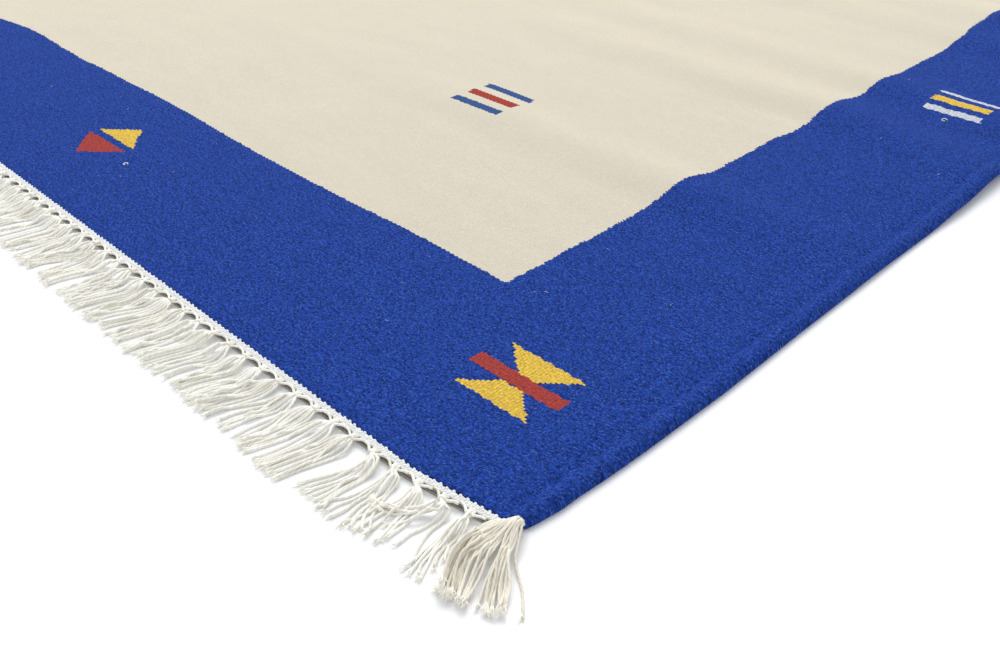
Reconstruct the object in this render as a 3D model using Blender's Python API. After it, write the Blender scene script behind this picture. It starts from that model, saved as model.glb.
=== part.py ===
"""Flat-woven wool rug with a rolled selvedge, a knotted cotton fringe at each end and corner tassels.

Metres. X runs across the rug from selvedge to selvedge, Y runs along it from fringe to fringe, and Z is up
from the floor. The origin is the middle of the rug at floor level.
"""
import math
import random

import bmesh
import bpy
import numpy as np

ACROSS_CLOTH = (1.0, 0.0)

# Wool cloth
WIDTH = 1.400
LENGTH = 2.000
THICKNESS = 0.005
SIDE_BORDER = 0.205
END_BORDER = 0.197

# Cross-section of the rolled selvedge, by the distance in from its outer edge
SELVEDGE_ROLL = (
    dict(inset=0.0000, top=0.0062, under=0.0022),
    dict(inset=0.0022, top=0.0078, under=0.0000),
    dict(inset=0.0062, top=0.0086, under=0.0000),
    dict(inset=0.0100, top=0.0076, under=0.0000),
    dict(inset=0.0138, top=0.0047, under=0.0000),
    dict(inset=0.0210, top=THICKNESS, under=0.0000),
)
ROLL_BULGE = 0.0006

# How far the selvedge swells outwards, by the distance from the nearer end
SELVEDGE_SWELL = (
    dict(along=0.00, out=0.0000),
    dict(along=0.10, out=0.0026),
    dict(along=0.20, out=0.0034),
    dict(along=0.30, out=0.0010),
    dict(along=0.60, out=0.0000),
)

# How far the end of the cloth is drawn in, by the distance from the selvedge
END_DRAW = (
    dict(inset=0.000, draw=0.0075),
    dict(inset=0.021, draw=0.0062),
    dict(inset=0.050, draw=0.0026),
    dict(inset=0.090, draw=-0.0022),
    dict(inset=WIDTH / 2, draw=0.0003),
)
END_DRAW_FADE = 0.15

# Ripples that cross the cloth. Each crest lies at a distance from the front end, at the right selvedge and
# from the field on, and rises by a height at four places, from the right selvedge to the left one.
RIPPLES = (
    dict(crest_edge=0.430, crest_field=0.440, half=0.062, edge=0.001, field=0.0085, middle=0.005, left=0.002),
    dict(crest_edge=0.600, crest_field=0.610, half=0.075, edge=0.004, field=0.0000, middle=0.000, left=0.000),
    dict(crest_edge=0.668, crest_field=0.706, half=0.068, edge=0.007, field=0.0095, middle=0.005, left=0.002),
    dict(crest_edge=0.805, crest_field=0.824, half=0.056, edge=0.005, field=0.0063, middle=0.004, left=0.002),
    dict(crest_edge=1.040, crest_field=1.040, half=0.060, edge=0.005, field=0.0065, middle=0.004, left=0.002),
)
RIPPLE_STEPS = (-1.0, -0.68, -0.36, 0.0, 0.36, 0.68, 1.0)
PLAIN_ROWS = (0.05, 0.10, 0.15, 0.20, 0.25, 0.30, 0.36)
MIDDLE_ROWS = (1.20, 1.40)
LEAST_ROW = 0.009

# Cotton band and its knotted fringe
CLEARANCE = 0.0003
BAND_INSET = 0.026
BAND_DEPTH = 0.0055
BAND_HEIGHT = 0.0042
KNOTS = 63
FIRST_KNOT_INSET = 0.036
KNOT_ROOT = 0.0100

# Sections of a knot, by the distance out from the band
KNOT_SECTIONS = (
    dict(out=0.0014, width=0.0066, height=0.0040),
    dict(out=0.0034, width=0.0082, height=0.0054),
)
KNOT_FRONT = dict(out=0.0058, width=0.0070, height=0.0036)
LOCK_SIDES = (-1, 1)
LOCK_ROOT_WIDTH = 0.0027
LOCK_LENGTH = 0.0520
LOCK_LENGTH_SPREAD = 0.0040
LOCK_SPLAY = 0.0052
LOCK_LEAN = 0.0024
LOCK_SEED = 62
CORNER_LEAN = 0.0095
CORNER_LEAN_FADE = 0.030

# Sections of a lock of yarn, by the share of its length from the knot. The spread is the share of the splay.
LOCK_SECTIONS = (
    dict(share=0.30, spread=0.80, width=0.0044, height=0.0032),
    dict(share=0.66, spread=1.00, width=0.0054, height=0.0030),
    dict(share=1.00, spread=1.04, width=0.0060, height=0.0024),
)

# Corner tassel. Its bound head sits against the end of the selvedge roll and laps over it, and its body falls
# to the floor. The sections go from the back of the head to the body, by the distance in from the end of the
# cloth. They turn outwards by degrees as they fan out, and the strands begin at the foot of the body.
TASSEL_SECTIONS = (
    dict(along=0.0088, inset=0.0068, turn=0.0, width=0.0050, under=0.0090, over=0.0104),
    dict(along=0.0062, inset=0.0068, turn=0.0, width=0.0096, under=0.0090, over=0.0125),
    dict(along=0.0032, inset=0.0068, turn=0.0, width=0.0116, under=0.0050, over=0.0131),
    dict(along=-0.0006, inset=0.0068, turn=6.0, width=0.0116, under=0.0040, over=0.0120),
    dict(along=-0.0054, inset=0.0066, turn=14.0, width=0.0176, under=0.0030, over=0.0100),
)
SIDE_FACET = 0.55
TASSEL_FOOT = dict(along=-0.0096, inset=0.0062, turn=20.0, width=0.0262, under=0.0022, over=0.0072)
TASSEL_STRANDS = 12
STRAND_ROOT_SHARE = 0.68
STRAND_FILL = 0.84
STRAND_LENGTH = 0.0470
STRAND_LENGTH_SPREAD = 0.0035
STRAND_UNEVENNESS = 2.4
FAN_INNER = math.radians(16.0)
FAN_OUTER = math.radians(46.0)
STRAND_SECTIONS = (
    dict(share=0.22, under=0.0003, over=0.0052),
    dict(share=0.55, under=0.0000, over=0.0042),
    dict(share=1.00, under=0.0000, over=0.0026),
)

BLUE_WOOL = (0.024, 0.070, 0.352)
CREAM_WOOL = (0.760, 0.700, 0.578)
WHITE_COTTON = (0.832, 0.810, 0.740)
CREAM_COTTON = (0.800, 0.760, 0.660)
WOOL_ROUGHNESS = 0.92
COTTON_ROUGHNESS = 0.85


def clear_scene():
    for item in list(bpy.data.objects):
        bpy.data.objects.remove(item, do_unlink=True)


def make_material(name, colour, roughness):
    material = bpy.data.materials.new(name)
    material.use_nodes = True
    shader = material.node_tree.nodes["Principled BSDF"]
    shader.inputs["Base Color"].default_value = (*colour, 1.0)
    shader.inputs["Roughness"].default_value = roughness
    shader.inputs["Metallic"].default_value = 0.0
    return material


def make_object(name, mesh, collection, turn=0.0):
    item = bpy.data.objects.new(name, mesh)
    item.rotation_euler = (0.0, 0.0, turn)
    collection.objects.link(item)
    return item


def read_table(value, table, key, column):
    """Read one column of a table at a value of its key, straight between the rows."""
    return float(np.interp(value, [row[key] for row in table], [row[column] for row in table]))


def finish_mesh(bm, name, *materials):
    bmesh.ops.recalc_face_normals(bm, faces=bm.faces)
    mesh = bpy.data.meshes.new(name)
    bm.to_mesh(mesh)
    bm.free()
    for material in materials:
        mesh.materials.append(material)
    return mesh


# Cloth

def ripple_rise(x, y):
    """Height of the ripples above the floor."""
    places = (-WIDTH / 2, 0.0, WIDTH / 2 - SIDE_BORDER, WIDTH / 2)
    along = y + LENGTH / 2
    rise = 0.0
    for row in RIPPLES:
        crest = float(np.interp(x, places[2:], (row["crest_field"], row["crest_edge"])))
        height = float(np.interp(x, places, (row["left"], row["middle"], row["field"], row["edge"])))
        offset = abs(along - crest) / row["half"]
        if offset < 1.0:
            rise += height * math.cos(offset * math.pi / 2) ** 2
    return rise


def cloth_rows():
    """Distances from the front end at which the cloth has a row of points."""
    fixed = {0.0, END_BORDER, LENGTH - END_BORDER, LENGTH}
    rows = set(PLAIN_ROWS) | {LENGTH - row for row in PLAIN_ROWS} | set(MIDDLE_ROWS)
    for ripple in RIPPLES:
        rows |= {ripple["crest_field"] + ripple["half"] * step for step in RIPPLE_STEPS}
    kept = sorted(fixed)
    for row in sorted(rows):
        if all(abs(row - other) >= LEAST_ROW for other in kept):
            kept.append(row)
    return sorted(kept)


def cloth_columns():
    """Distances from the selvedge at which the cloth has a column of points."""
    roll = [row["inset"] for row in SELVEDGE_ROLL]
    draw = [row["inset"] for row in END_DRAW]
    return sorted(set(roll) | set(draw) | {SIDE_BORDER})


def cloth_point(x, y, level):
    """Place a point of the plain slab, at a level from 0 underneath to 1 on top, on the finished cloth."""
    side = math.copysign(1.0, x)
    end = math.copysign(1.0, y)
    inset = WIDTH / 2 - abs(x)
    along = LENGTH / 2 - abs(y)
    top = read_table(inset, SELVEDGE_ROLL, "inset", "top")
    under = read_table(inset, SELVEDGE_ROLL, "inset", "under")
    z = ripple_rise(x, y) + under + (top - under) * level
    nearness = max(0.0, 1.0 - inset / SIDE_BORDER)
    outward = nearness * read_table(along, SELVEDGE_SWELL, "along", "out")
    if inset < CLEARANCE and level == 0.5:
        outward += ROLL_BULGE
    fade = max(0.0, 1.0 - along / END_DRAW_FADE)
    drawn = fade * read_table(inset, END_DRAW, "inset", "draw")
    return x + side * outward, y - end * drawn, z


def cut_slab(bm, position, normal):
    geometry = list(bm.verts) + list(bm.edges) + list(bm.faces)
    bmesh.ops.bisect_plane(bm, geom=geometry, plane_co=position, plane_no=normal)


def build_cloth(blue, cream):
    bm = bmesh.new()
    bmesh.ops.create_cube(bm, size=1.0)
    bmesh.ops.scale(bm, vec=(WIDTH, LENGTH, THICKNESS), verts=bm.verts)
    bmesh.ops.translate(bm, vec=(0.0, 0.0, THICKNESS / 2), verts=bm.verts)
    for inset in cloth_columns()[1:]:
        for side in {WIDTH / 2 - inset, inset - WIDTH / 2}:
            cut_slab(bm, (side, 0.0, 0.0), (1.0, 0.0, 0.0))
    for along in cloth_rows()[1:-1]:
        cut_slab(bm, (0.0, along - LENGTH / 2, 0.0), (0.0, 1.0, 0.0))
    cut_slab(bm, (0.0, 0.0, THICKNESS / 2), (0.0, 0.0, 1.0))
    field = (WIDTH / 2 - SIDE_BORDER, LENGTH / 2 - END_BORDER)
    for face in bm.faces:
        middle = face.calc_center_median()
        face.material_index = int(abs(middle.x) < field[0] and abs(middle.y) < field[1])
    for vert in bm.verts:
        level = round(2 * vert.co.z / THICKNESS) / 2
        vert.co = cloth_point(vert.co.x, vert.co.y, level)
    return finish_mesh(bm, "kilim_cloth", blue, cream)


# Fringe and tassels

def zip_chains(bm, first, second):
    """Fill the strip between two chains of points that begin side by side and end side by side."""
    i = j = 0
    while i < len(first) - 1 or j < len(second) - 1:
        next_i = (i + 1) / (len(first) - 1)
        next_j = (j + 1) / (len(second) - 1)
        if math.isclose(next_i, next_j):
            bm.faces.new((first[i], first[i + 1], second[j + 1], second[j]))
            i, j = i + 1, j + 1
        elif next_i < next_j:
            bm.faces.new((first[i], first[i + 1], second[j]))
            i += 1
        else:
            bm.faces.new((first[i], second[j + 1], second[j]))
            j += 1


def skin_sections(bm, first, second):
    """Join two sections, each an under chain and an over chain that share their two end points."""
    for chain, following in zip(first, second):
        zip_chains(bm, chain, following)


def beside(place, across, offset):
    """A point beside a place, at an offset along the direction across."""
    return place[0] + across[0] * offset, place[1] + across[1] * offset


def box_section(bm, place, width, height):
    """A four-sided section that stands on the floor."""
    corners = ((-1, 0.0), (1, 0.0), (1, height), (-1, height))
    left, right, over_right, over_left = (
        bm.verts.new((*beside(place, ACROSS_CLOTH, side * width / 2), z)) for side, z in corners)
    return (left, right), (right, over_right, over_left, left)


def comb_section(bm, place, across, width, under, over, count, root):
    """A section with a row of triangles, one for each strand, and the gaps between them."""
    pitch = (width - root) / (count - 1)
    offsets = [root / 2 - width / 2 + pitch * k for k in range(count)]
    feet = [bm.verts.new((*beside(place, across, offset + side * root / 2), under))
            for offset in offsets for side in (-1, 1)]
    tips = [bm.verts.new((*beside(place, across, offset), over)) for offset in offsets]
    for k in range(count - 1):
        bm.faces.new((feet[2 * k + 1], feet[2 * k + 2], tips[k + 1], tips[k]))
    roots = [(feet[2 * k], feet[2 * k + 1], tips[k]) for k in range(count)]
    return (feet, [feet[-1], *reversed(tips), feet[0]]), roots


def grow_strand(bm, root, rings):
    """Draw a three-sided strand out of its root through rings of (middle, across, width, under, over)."""
    previous = root
    for middle, across, width, under, over in rings:
        feet = [(*beside(middle, across, side * width / 2), under) for side in (-1, 1)]
        ring = [bm.verts.new(point) for point in (*feet, (middle[0], middle[1], over))]
        for k in range(3):
            bm.faces.new((previous[k], previous[(k + 1) % 3], ring[(k + 1) % 3], ring[k]))
        previous = ring
    bm.faces.new(previous)


def end_line(x):
    """Y of the front end of the cloth."""
    return read_table(WIDTH / 2 - abs(x), END_DRAW, "inset", "draw") - LENGTH / 2


def knot_places():
    pitch = (WIDTH - 2 * FIRST_KNOT_INSET) / (KNOTS - 1)
    return [FIRST_KNOT_INSET - WIDTH / 2 + pitch * k for k in range(KNOTS)]


def grow_knot(bm, root, x, chance):
    """Gather the band into a knot and let its two locks fan out over the floor."""
    y = end_line(x) - CLEARANCE - BAND_DEPTH
    section = root
    for row in KNOT_SECTIONS:
        following = box_section(bm, (x, y - row["out"]), row["width"], row["height"])
        skin_sections(bm, section, following)
        section = following
    front = y - KNOT_FRONT["out"]
    comb, roots = comb_section(bm, (x, front), ACROSS_CLOTH, KNOT_FRONT["width"], 0.0,
                               KNOT_FRONT["height"], len(LOCK_SIDES), LOCK_ROOT_WIDTH)
    skin_sections(bm, section, comb)
    from_corner = WIDTH / 2 - FIRST_KNOT_INSET - abs(x)
    outward = CORNER_LEAN * max(0.0, 1.0 - from_corner / CORNER_LEAN_FADE)
    lean = chance.uniform(-LOCK_LEAN, LOCK_LEAN) + math.copysign(outward, x)
    for side, lock_root in zip(LOCK_SIDES, roots):
        length = LOCK_LENGTH + chance.uniform(-LOCK_LENGTH_SPREAD, LOCK_LENGTH_SPREAD)
        rings = []
        for row in LOCK_SECTIONS:
            across = side * LOCK_SPLAY * row["spread"] + lean * row["share"] ** 2
            middle = (x + across, front - length * row["share"])
            rings.append((middle, ACROSS_CLOTH, row["width"], 0.0, row["height"]))
        grow_strand(bm, lock_root, rings)


def build_fringe(cotton):
    """Cotton band across the front end, with a row of knots and their locks."""
    chance = random.Random(LOCK_SEED)
    bm = bmesh.new()
    knots = [(x - KNOT_ROOT / 2, x + KNOT_ROOT / 2, x) for x in knot_places()]
    reach = WIDTH / 2 - BAND_INSET
    bends = [WIDTH / 2 - row["inset"] for row in END_DRAW if BAND_INSET < row["inset"] < WIDTH / 2]
    mirrored = [-bend for bend in bends]
    stations = sorted({-reach, reach, *bends, *mirrored, *(edge for knot in knots for edge in knot[:2])})
    corners = []
    for x in stations:
        back = end_line(x) - CLEARANCE
        front = back - BAND_DEPTH
        corners.append([bm.verts.new((x, y, z)) for y, z in
                        ((back, 0.0), (front, 0.0), (front, BAND_HEIGHT), (back, BAND_HEIGHT))])
    knot_starts = {knot[0]: knot[2] for knot in knots}
    for x, here, there in zip(stations, corners, corners[1:]):
        for k in (0, 2, 3):
            bm.faces.new((here[k], here[(k + 1) % 4], there[(k + 1) % 4], there[k]))
        if x in knot_starts:
            root = ((here[1], there[1]), (there[1], there[2], here[2], here[1]))
            grow_knot(bm, root, knot_starts[x], chance)
        else:
            bm.faces.new((here[1], here[2], there[2], there[1]))
    bm.faces.new(corners[0])
    bm.faces.new(corners[-1])
    return finish_mesh(bm, "fringe", cotton)


def body_section(bm, place, across, width, under, over):
    """A six-sided section of the tassel's head and body."""
    level = (under + over) / 2
    facet = width * SIDE_FACET / 2
    corners = ((-width / 2, level), (-facet, under), (facet, under),
               (width / 2, level), (facet, over), (-facet, over))
    points = [bm.verts.new((*beside(place, across, offset), z)) for offset, z in corners]
    return points[:4], [*points[3:], points[0]]


def tassel_place(row, side):
    """Middle of a section of the tassel at the front corner on one side, and the direction across it."""
    turn = math.radians(row["turn"])
    place = (side * (WIDTH / 2 - row["inset"]), row["along"] - LENGTH / 2)
    return place, (math.cos(turn), side * math.sin(turn))


def build_tassel(name, side, cotton):
    """Tassel at the front corner on one side: 1 for the right and -1 for the left."""
    bm = bmesh.new()
    section = None
    for row in TASSEL_SECTIONS:
        following = body_section(bm, *tassel_place(row, side), row["width"], row["under"], row["over"])
        if section:
            skin_sections(bm, section, following)
        else:
            under, over = following
            bm.faces.new((*under, *over[1:-1]))
        section = following
    width = TASSEL_FOOT["width"]
    root = width / TASSEL_STRANDS * STRAND_ROOT_SHARE
    comb, roots = comb_section(bm, *tassel_place(TASSEL_FOOT, side), width, TASSEL_FOOT["under"],
                               TASSEL_FOOT["over"], TASSEL_STRANDS, root)
    skin_sections(bm, section, comb)
    pitch = (width - root) / (TASSEL_STRANDS - 1)
    step = (FAN_OUTER - FAN_INNER) / (TASSEL_STRANDS - 1)
    for k, strand_root in enumerate(roots):
        outer = k if side > 0 else TASSEL_STRANDS - 1 - k
        angle = FAN_INNER + step * outer
        across = (math.cos(angle), side * math.sin(angle))
        onward = (side * math.sin(angle), -math.cos(angle))
        facing = math.cos(angle - math.radians(TASSEL_FOOT["turn"]))
        length = STRAND_LENGTH + STRAND_LENGTH_SPREAD * math.sin(STRAND_UNEVENNESS * outer)
        rings = []
        for row in STRAND_SECTIONS:
            out = length * row["share"]
            middle = beside(strand_root[-1].co, onward, out)
            spread = STRAND_FILL * (pitch * facing + out * step)
            rings.append((middle, across, spread, row["under"], row["over"]))
        grow_strand(bm, strand_root, rings)
    return finish_mesh(bm, name, cotton)


def main():
    clear_scene()
    collection = bpy.data.collections.new("kilim_rug")
    bpy.context.scene.collection.children.link(collection)
    blue = make_material("blue_wool", BLUE_WOOL, WOOL_ROUGHNESS)
    cream = make_material("cream_wool", CREAM_WOOL, WOOL_ROUGHNESS)
    half_turn = math.pi
    make_object("kilim_cloth", build_cloth(blue, cream), collection)
    fringe = build_fringe(make_material("white_cotton", WHITE_COTTON, COTTON_ROUGHNESS))
    make_object("fringe_front", fringe, collection)
    make_object("fringe_back", fringe, collection, half_turn)
    cotton = make_material("cream_cotton", CREAM_COTTON, COTTON_ROUGHNESS)
    right = build_tassel("tassel_right", 1, cotton)
    left = build_tassel("tassel_left", -1, cotton)
    make_object("tassel_front_right", right, collection)
    make_object("tassel_front_left", left, collection)
    make_object("tassel_back_left", right, collection, half_turn)
    make_object("tassel_back_right", left, collection, half_turn)


main()
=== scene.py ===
"""Looks of a flat-woven wool rug with a knotted cotton fringe and corner tassels, as a Blender add-on."""
import math

import bpy
import numpy as np
from bpy.props import FloatProperty, FloatVectorProperty, IntProperty, PointerProperty
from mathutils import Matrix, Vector


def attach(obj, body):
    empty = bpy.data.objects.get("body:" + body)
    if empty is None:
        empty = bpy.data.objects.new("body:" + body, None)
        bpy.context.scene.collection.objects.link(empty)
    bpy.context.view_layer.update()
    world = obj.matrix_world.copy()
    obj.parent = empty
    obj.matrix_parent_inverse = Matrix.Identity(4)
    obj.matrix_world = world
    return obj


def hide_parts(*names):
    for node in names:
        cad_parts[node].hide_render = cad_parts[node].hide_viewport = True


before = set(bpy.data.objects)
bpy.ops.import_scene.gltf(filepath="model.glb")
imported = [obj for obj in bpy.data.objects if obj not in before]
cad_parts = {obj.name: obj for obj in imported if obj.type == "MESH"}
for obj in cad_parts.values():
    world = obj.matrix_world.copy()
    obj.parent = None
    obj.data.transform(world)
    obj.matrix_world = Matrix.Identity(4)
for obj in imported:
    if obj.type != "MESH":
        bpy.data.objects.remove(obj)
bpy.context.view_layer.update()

bl_info = {
    "name": "Kilim Rug",
    "version": (1, 0, 0),
    "blender": (4, 5, 0),
    "location": "View3D > Sidebar > Kilim",
    "description": "Weaves a wool rug and ties its cotton fringe and tassels",
    "category": "Object",
}

BODY = "root"

# Plan of the cloth, in metres, with its middle at the origin
WIDTH = 1.400
LENGTH = 2.000
THICKNESS = 0.005
SIDE_BORDER = 0.205
LEFT_BORDER = 0.148
END_BORDER = 0.200

# Cross-section of the rolled selvedge from under it, round its outer edge and over its top to the flat cloth
ROLL_SECTION = (
    dict(inset=0.0008, height=0.0000),
    dict(inset=-0.0012, height=0.0004),
    dict(inset=-0.0022, height=0.0020),
    dict(inset=-0.0019, height=0.0042),
    dict(inset=-0.0004, height=0.0063),
    dict(inset=0.0022, height=0.0079),
    dict(inset=0.0062, height=0.0086),
    dict(inset=0.0100, height=0.0077),
    dict(inset=0.0134, height=0.0050),
    dict(inset=0.0162, height=0.0040),
    dict(inset=0.0210, height=THICKNESS),
)
ROLL_STATIONS = 20

# How far the selvedge swells outwards, by the distance from the nearer end
SELVEDGE_SWELL = (
    dict(along=0.000, out=-0.0080),
    dict(along=0.003, out=-0.0062),
    dict(along=0.008, out=-0.0050),
    dict(along=0.018, out=-0.0037),
    dict(along=0.031, out=-0.0020),
    dict(along=0.053, out=-0.0016),
    dict(along=0.072, out=-0.0003),
    dict(along=0.096, out=0.0007),
    dict(along=0.124, out=0.0014),
    dict(along=0.210, out=0.0024),
    dict(along=0.320, out=0.0006),
    dict(along=0.480, out=-0.0004),
    dict(along=0.600, out=0.0006),
    dict(along=0.690, out=-0.0018),
    dict(along=1.000, out=-0.0010),
)

# How far the end of the cloth is drawn in, by the distance from the selvedge
END_DRAW = (
    dict(inset=0.000, draw=0.0120),
    dict(inset=0.006, draw=0.0084),
    dict(inset=0.021, draw=0.0062),
    dict(inset=0.050, draw=0.0026),
    dict(inset=0.090, draw=-0.0022),
    dict(inset=WIDTH / 2, draw=0.0003),
)
END_DRAW_FADE = 0.15

# How the cloth thins towards its end, by the distance from it
END_EDGE = (
    dict(along=0.0000, share=0.56),
    dict(along=0.0012, share=0.86),
    dict(along=0.0030, share=0.97),
    dict(along=0.0060, share=1.00),
)

# Ripples that cross the cloth, by the distance of their crests from the front end
RIPPLES = (
    dict(crest_edge=0.430, crest_field=0.440, half=0.062, edge=0.001, field=0.0085, middle=0.0010, left=0.0005),
    dict(crest_edge=0.600, crest_field=0.610, half=0.075, edge=0.004, field=0.0000, middle=0.0000, left=0.0000),
    dict(crest_edge=0.668, crest_field=0.706, half=0.068, edge=0.007, field=0.0095, middle=0.0010, left=0.0005),
    dict(crest_edge=0.805, crest_field=0.824, half=0.056, edge=0.005, field=0.0063, middle=0.0010, left=0.0005),
    dict(crest_edge=1.040, crest_field=1.040, half=0.060, edge=0.005, field=0.0065, middle=0.0010, left=0.0005),
    dict(crest_edge=1.150, crest_field=1.130, half=0.100, edge=0.003, field=0.0125, middle=0.0010, left=0.0005),
)

# How the weft bows along the inner line of the front border
WEFT_BOW = (
    dict(x=-0.470, shift=-0.0085),
    dict(x=-0.395, shift=0.0010),
    dict(x=-0.355, shift=0.0022),
    dict(x=-0.310, shift=-0.0005),
    dict(x=-0.235, shift=-0.0033),
    dict(x=-0.198, shift=-0.0007),
    dict(x=-0.130, shift=-0.0006),
    dict(x=-0.061, shift=0.0016),
    dict(x=0.013, shift=0.0010),
    dict(x=0.085, shift=-0.0023),
    dict(x=0.150, shift=-0.0036),
    dict(x=0.208, shift=-0.0034),
    dict(x=0.312, shift=-0.0020),
    dict(x=0.358, shift=-0.0001),
    dict(x=0.403, shift=0.0010),
    dict(x=0.500, shift=0.0000),
)
BOW_REACH = (0.130, 0.190, 0.210, 0.300)

# Knots of the fringe
KNOTS = 63
FIRST_KNOT_INSET = 0.036
BAND_INSET = 0.0135
BAND_DEPTH = 0.0055

# Courses of the cotton band, from the nubs that lap over the cloth to its outer edge
BAND_COURSES = (
    dict(out=-0.0002, height=0.0051, lean=0.8, depth=0.40, pitch=0.0056, radius=0.00115),
    dict(out=0.0007, height=0.0049, lean=0.9, depth=-0.20, pitch=0.0024, radius=0.00110),
    dict(out=0.0020, height=0.0049, lean=-0.8, depth=0.40, pitch=0.0024, radius=0.00110),
    dict(out=0.0034, height=0.0047, lean=1.0, depth=0.20, pitch=0.0026, radius=0.00110),
)

# How the yarns of one knot run, by their distance out from the band. They gather into the knot, rise and fan
# out, and lie on the floor. The spread is a share of the width over which they lie.
FRINGE_STAGES = (
    dict(out=-0.0012, spread=0.00, fan=0.0, lean=0.00, sway=0.0, height=0.0046),
    dict(out=-0.0002, spread=0.00, fan=0.0, lean=0.00, sway=0.0, height=0.0046),
    dict(out=0.0030, spread=0.22, fan=0.0, lean=0.01, sway=0.0, height=0.0050),
    dict(out=0.0072, spread=0.66, fan=0.0, lean=0.05, sway=0.2, height=0.0060),
    dict(out=0.0130, spread=1.06, fan=0.0, lean=0.14, sway=0.7, height=0.0042),
    dict(out=0.0220, spread=1.14, fan=0.2, lean=0.30, sway=1.0, height=0.0011),
    dict(out=0.0350, spread=1.10, fan=0.5, lean=0.58, sway=-0.4, height=0.0011),
    dict(out=0.0480, spread=1.04, fan=0.8, lean=0.86, sway=-0.9, height=0.0011),
    dict(out=0.0580, spread=1.00, fan=1.0, lean=1.00, sway=-0.4, height=0.0011),
)

# How far the bundles lean from the right corner and how wide they lie, by the distance in from the selvedge
FRINGE_LEAN = (
    dict(inset=0.036, lean=-0.002, wide=1.00),
    dict(inset=0.145, lean=-0.008, wide=1.00),
    dict(inset=0.330, lean=-0.010, wide=1.08),
    dict(inset=0.450, lean=-0.008, wide=1.28),
    dict(inset=0.700, lean=-0.005, wide=1.34),
    dict(inset=1.364, lean=0.002, wide=1.20),
)

# Tangled bundles next to the corner, from the corner on: the outer, middle and inner yarns of each, as places in
# millimetres in from the selvedge and out from the end of the cloth
TANGLES = (
    (((37, 15), (36, 33), (34, 48), (33, 59)), ((33, 13), (31, 28), (28, 42), (20, 56)), ((31, 12), (28, 18), (26, 23), (24, 28))),
    (((56, 15), (64, 25), (77, 31), (90, 36)), ((53, 14), (58, 23), (70, 34), (83, 39)), ((49, 10), (45, 19), (42, 35), (34, 54))),
    (((76, 19), (79, 30), (84, 44), (86, 61)), ((71, 17), (70, 26), (66, 41), (62, 58)), ((68, 13), (65, 21), (60, 33), (58, 50))),
    (((98, 19), (101, 34), (106, 50), (110, 65)), ((93, 18), (92, 32), (90, 48), (88, 63)), ((90, 15), (87, 24), (82, 40), (70, 56))),
    (((118, 18), (124, 33), (130, 48), (136, 61)), ((114, 17), (113, 32), (117, 47), (120, 61)), ((111, 14), (108, 26), (109, 42), (106, 62))),
)

# Guide yarns of a tassel from its inner side to its outer one, each by its order and its places from the head to
# the tip, in millimetres in from the selvedge, along from the end of the cloth, and up
TASSEL_GUIDES = (
    (0.00, ((17, 6, 5.0), (18, 4, 5.6), (20, 0, 6.5), (22, -8, 7.0), (20.5, -21, 5.5), (17, -37, 3.0), (8, -55, 1.5))),
    (0.25, ((12, 8, 7.0), (12.5, 6, 9.0), (13.5, 1, 10.5), (15.5, -7, 10.0), (15.5, -19, 7.5), (12, -36, 4.0), (2, -56, 1.5))),
    (0.45, ((10, 12, 8.6), (9.5, 9, 11.5), (8.3, 3, 12.5), (9, -7, 11.0), (11, -20, 8.0), (9, -36, 5.0), (-4, -56, 2.0))),
    (0.62, ((8, 13, 8.6), (7.5, 9, 12.0), (6, 4, 13.0), (5, -5, 11.5), (2.5, -18, 8.5), (-3, -33, 5.0), (-14, -54, 2.0))),
    (0.66, ((7, 13, 8.6), (6.5, 9, 12.0), (5, 5, 12.7), (3, -4, 10.5), (-0.5, -17, 7.0), (-9, -32, 4.0), (-22, -51, 1.5))),
    (0.94, ((5, 13, 7.5), (4, 10, 10.8), (3, 6, 11.2), (-2, -2, 9.0), (-13, -15, 5.5), (-22, -27, 3.0), (-33, -39, 1.5))),
    (1.00, ((4, 12, 7.0), (3, 9, 9.2), (2, 6, 9.2), (-3, -1, 6.5), (-12, -12, 3.0), (-24, -23, 1.1), (-42, -36, 1.0))),
)

# Camera, by the corner that it looks over
CAMERA_PLACE = (0.99505, -1.30849, 0.45660)
CAMERA_AIM = (-0.577636, 0.578679, -0.575733)
CAMERA_LENS = 36.8156
SENSOR_WIDTH = 36.0


def screen_colour(red, green, blue):
    """Linear colour of a colour given in steps of 255, as a screen shows it."""
    return tuple(((level / 255.0 + 0.055) / 1.055) ** 2.4 for level in (red, green, blue))


def length_setting(name, default, description):
    return FloatProperty(name=name, description=description, default=default, min=0.0, precision=5, unit="LENGTH")


def colour_setting(name, colour, description):
    return FloatVectorProperty(name=name, description=description, default=screen_colour(*colour),
                               subtype="COLOR", min=0.0, max=1.0)


class ClothSettings(bpy.types.PropertyGroup):
    """Sizes and colours of the wool cloth."""

    warp_pitch: length_setting("Warp Pitch", 0.0028, "Distance from one warp to the next")
    weft_pitch: length_setting("Weft Pitch", 0.0017, "Height of one weft grain")
    relief: length_setting("Relief", 0.0004, "Height of a weft grain above the gaps")
    wobble: length_setting("Wobble", 0.0016, "How far the colour edges stray")
    wrap_pitch: length_setting("Wrap Pitch", 0.0067, "Distance between the turns of wool round the selvedge")
    blue: colour_setting("Blue", (23, 53, 131), "Wool of the border")
    cream: colour_setting("Cream", (208, 200, 182), "Wool of the field")
    yellow: colour_setting("Yellow", (216, 181, 72), "Wool of the yellow motifs")
    red: colour_setting("Red", (158, 62, 54), "Wool of the red motifs")
    white: colour_setting("White", (196, 200, 208), "Wool of the white bars")
    # Painted highlight: a light blue mixed into the wool where loose fibres catch the light.
    painted_fuzz_highlight: colour_setting("Fuzz", (90, 128, 208), "Loose fibres that catch the light")
    pale_blue: colour_setting("Pale Blue", (56, 84, 136), "Wool of the blue bars in the field")


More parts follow.
